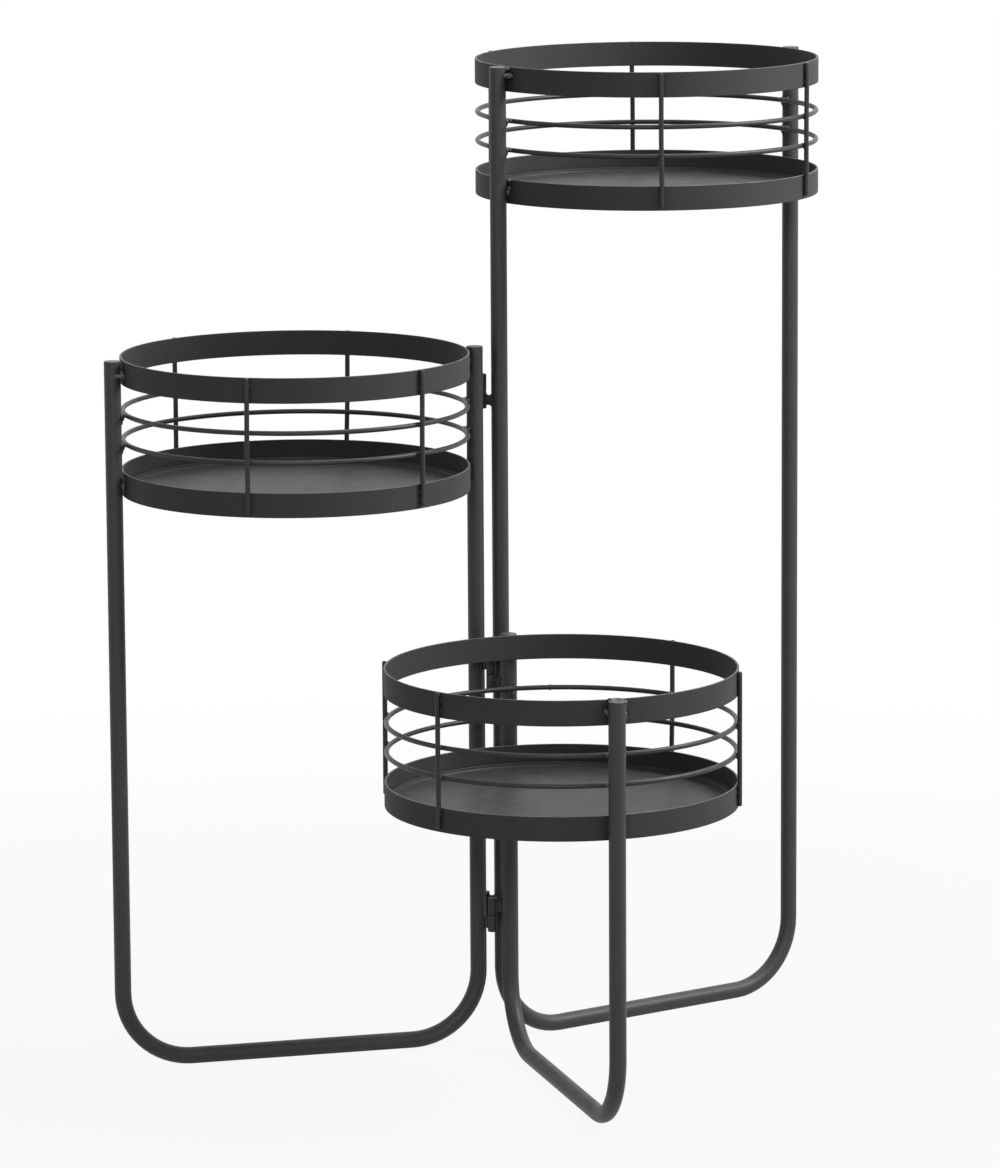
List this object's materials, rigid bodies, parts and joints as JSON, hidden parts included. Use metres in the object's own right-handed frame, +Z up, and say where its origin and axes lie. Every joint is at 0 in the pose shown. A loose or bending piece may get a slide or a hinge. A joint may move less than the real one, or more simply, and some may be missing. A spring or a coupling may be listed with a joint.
{
  "type": "tiered plant stand",
  "caption": "Folding plant stand: U-bent tube frames at stepped heights hinge on a common post, each carrying a round wire basket with a flat tray for a pot.",
  "frame": {"origin": "on the floor, under the middle of the opened stand", "axes": "+Z up, X along the middle frame with the hinge post on its +X side, +Y to the back, where the tall frame stands"},
  "size_m": [0.5446, 0.4658, 0.716],
  "materials": {
    "tube_powder_coat": "matt charcoal powder coat with a fine grain",
    "cap_powder_coat": "matt charcoal powder coat",
    "strip_powder_coat": "matt charcoal powder coat, edges slightly brighter",
    "wire_powder_coat": "matt charcoal powder coat",
    "tray_floor_powder_coat": "matt charcoal powder coat, slightly mottled",
    "weld_powder_coat": "matt charcoal powder coat over uneven weld",
    "hinge_paint": "matt near-black coat",
    "hinge_pin_paint": "worn near-black coat"
  },
  "bodies": {
    "middle_frame": {"low_lower_hinge_pin": "hinge_pin_paint", "low_lower_hinge_post_knuckle": "hinge_paint", "low_upper_hinge_pin": "hinge_pin_paint", "low_upper_hinge_post_knuckle": "hinge_paint", "middle_basket_welds": "weld_powder_coat", "middle_frame_tube": "tube_powder_coat", "middle_leg_caps": "cap_powder_coat", "middle_top_hoop": "strip_powder_coat", "middle_tray_floor": "tray_floor_powder_coat", "middle_tray_wall": "strip_powder_coat", "middle_upright_wires": "wire_powder_coat", "middle_wire_ring_1": "wire_powder_coat", "middle_wire_ring_2": "wire_powder_coat", "tall_lower_hinge_pin": "hinge_pin_paint", "tall_lower_hinge_post_knuckle": "hinge_paint", "tall_upper_hinge_pin": "hinge_pin_paint", "tall_upper_hinge_post_knuckle": "hinge_paint"},
    "low_frame": {"low_basket_welds": "weld_powder_coat", "low_frame_tube": "tube_powder_coat", "low_leg_caps": "cap_powder_coat", "low_lower_hinge_frame_knuckle": "hinge_paint", "low_top_hoop": "strip_powder_coat", "low_tray_floor": "tray_floor_powder_coat", "low_tray_wall": "strip_powder_coat", "low_upper_hinge_frame_knuckle": "hinge_paint", "low_upright_wires": "wire_powder_coat", "low_wire_ring_1": "wire_powder_coat", "low_wire_ring_2": "wire_powder_coat"},
    "tall_frame": {"tall_basket_welds": "weld_powder_coat", "tall_frame_tube": "tube_powder_coat", "tall_leg_caps": "cap_powder_coat", "tall_lower_hinge_frame_knuckle": "hinge_paint", "tall_top_hoop": "strip_powder_coat", "tall_tray_floor": "tray_floor_powder_coat", "tall_tray_wall": "strip_powder_coat", "tall_upper_hinge_frame_knuckle": "hinge_paint", "tall_upright_wires": "wire_powder_coat", "tall_wire_ring_1": "wire_powder_coat", "tall_wire_ring_2": "wire_powder_coat"}
  },
  "joints": [
    {"name": "low_frame_swing", "type": "hinge", "parent": "middle_frame", "child": "low_frame", "pos_m": [0.00672, 0.04572, 0.0985], "axis": [0, 0, 1], "range_deg": [-91.5, 28.5]},
    {"name": "tall_frame_swing", "type": "hinge", "parent": "middle_frame", "child": "tall_frame", "pos_m": [0.00672, 0.06773, 0.0985], "axis": [0, 0, 1], "range_deg": [-20.5, 159.5]}
  ]
}
